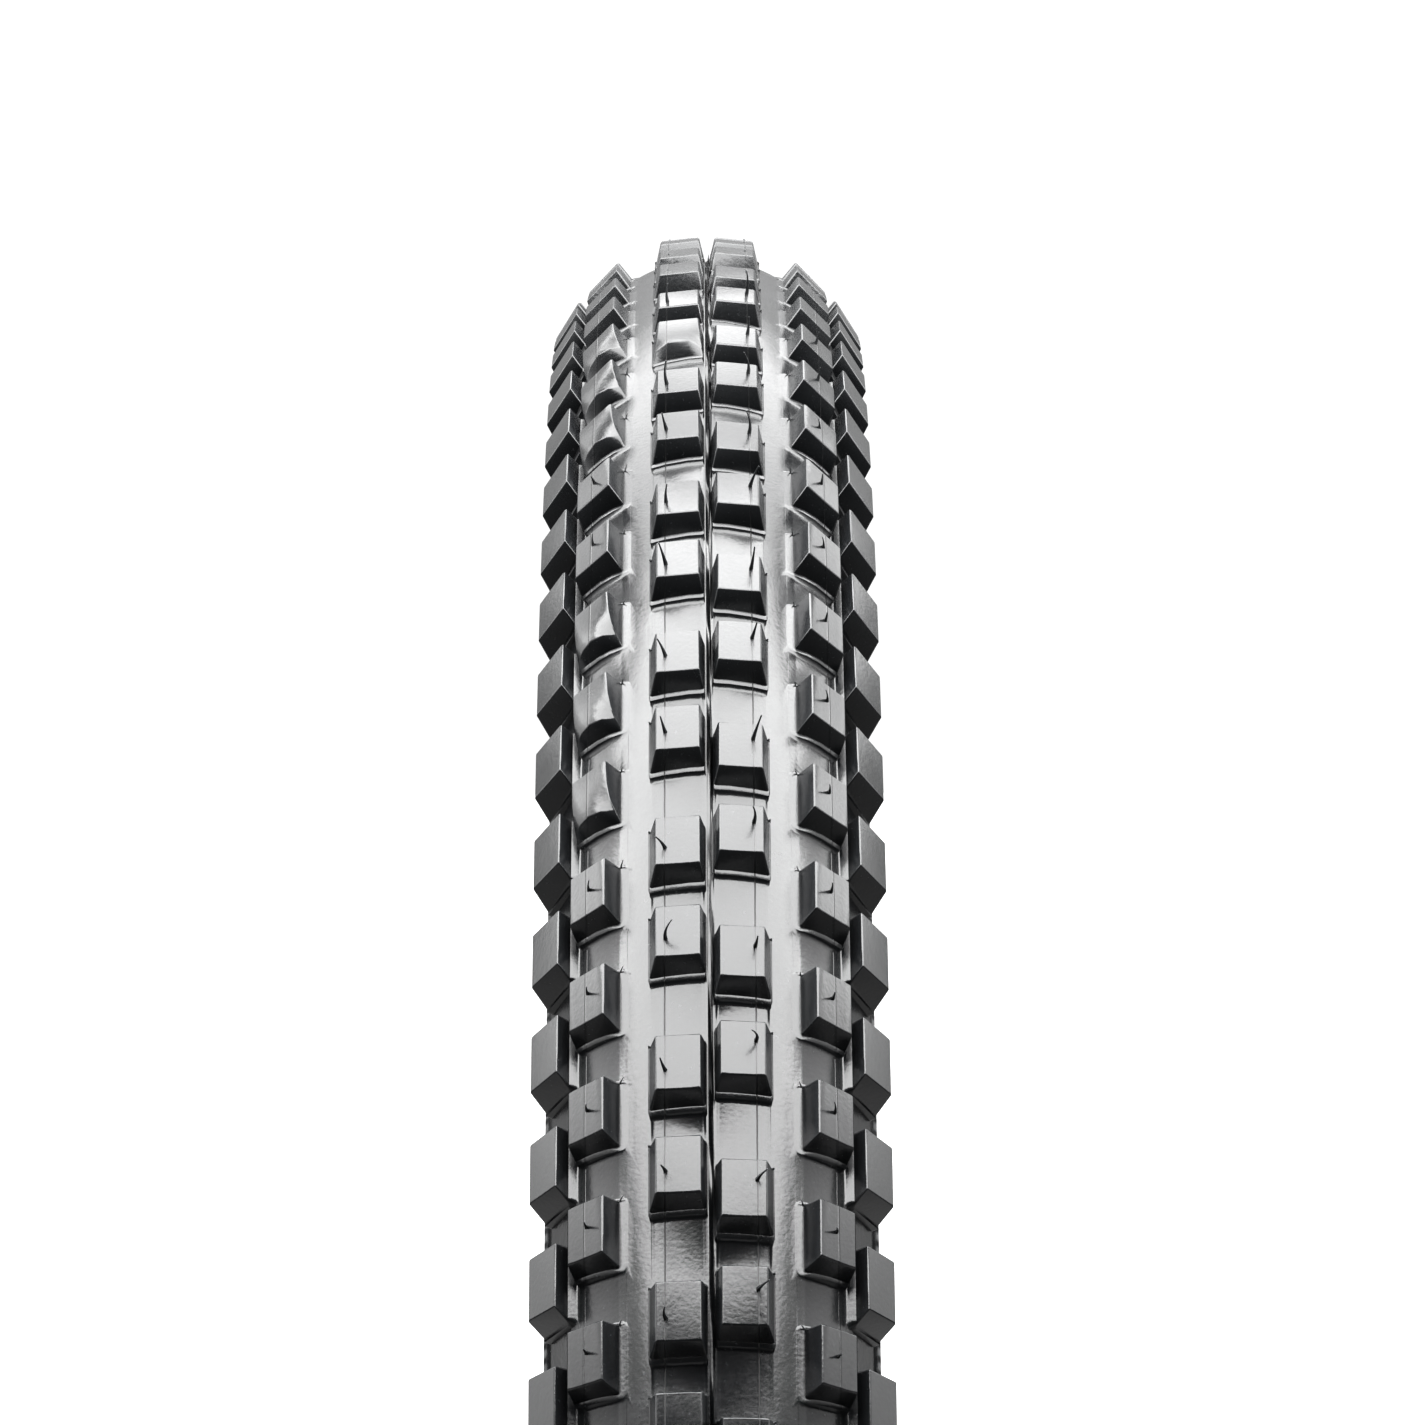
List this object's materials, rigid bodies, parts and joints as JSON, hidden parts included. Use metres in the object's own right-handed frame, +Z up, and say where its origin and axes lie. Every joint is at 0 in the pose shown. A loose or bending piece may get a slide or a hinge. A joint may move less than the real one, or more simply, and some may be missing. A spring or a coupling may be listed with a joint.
{
  "type": "bicycle tire",
  "caption": "Wire-bead knobbly bicycle tire for a 406 mm rim, with paired centre blocks, two rows of shoulder knobs a side and moulding vent hairs.",
  "frame": {"origin": "centre of the wheel, on the wheel axis and on the tire's centre line", "axes": "+Y along the wheel axis, +Z up with the tire standing on its tread, +X towards the side that shows most of the tread"},
  "size_m": [0.4972, 0.0462, 0.4972],
  "materials": {
    "tread_rubber": "semi-matte moulded black rubber",
    "sidewall_rubber": "satin moulded black rubber",
    "casing_fabric": "rubberised nylon cord fabric, matte",
    "breaker_fabric": "rubberised woven nylon, matte",
    "chafer_fabric": "rubberised woven nylon, matte black",
    "filler_rubber": "hard black rubber",
    "tape_fabric": "rubberised fabric tape, matte",
    "bead_steel": "bronze-coated steel wire"
  },
  "bodies": {
    "root": {"tread": "tread_rubber", "breaker_strip": "breaker_fabric", "casing_ply_outer": "casing_fabric", "casing_ply_inner": "casing_fabric", "sidewall_left": "sidewall_rubber", "chafer_left": "chafer_fabric", "bead_filler_left": "filler_rubber", "bead_tape_left": "tape_fabric", "bead_wire_left": "bead_steel", "sidewall_right": "sidewall_rubber", "chafer_right": "chafer_fabric", "bead_filler_right": "filler_rubber", "bead_tape_right": "tape_fabric", "bead_wire_right": "bead_steel"}
  },
  "joints": []
}
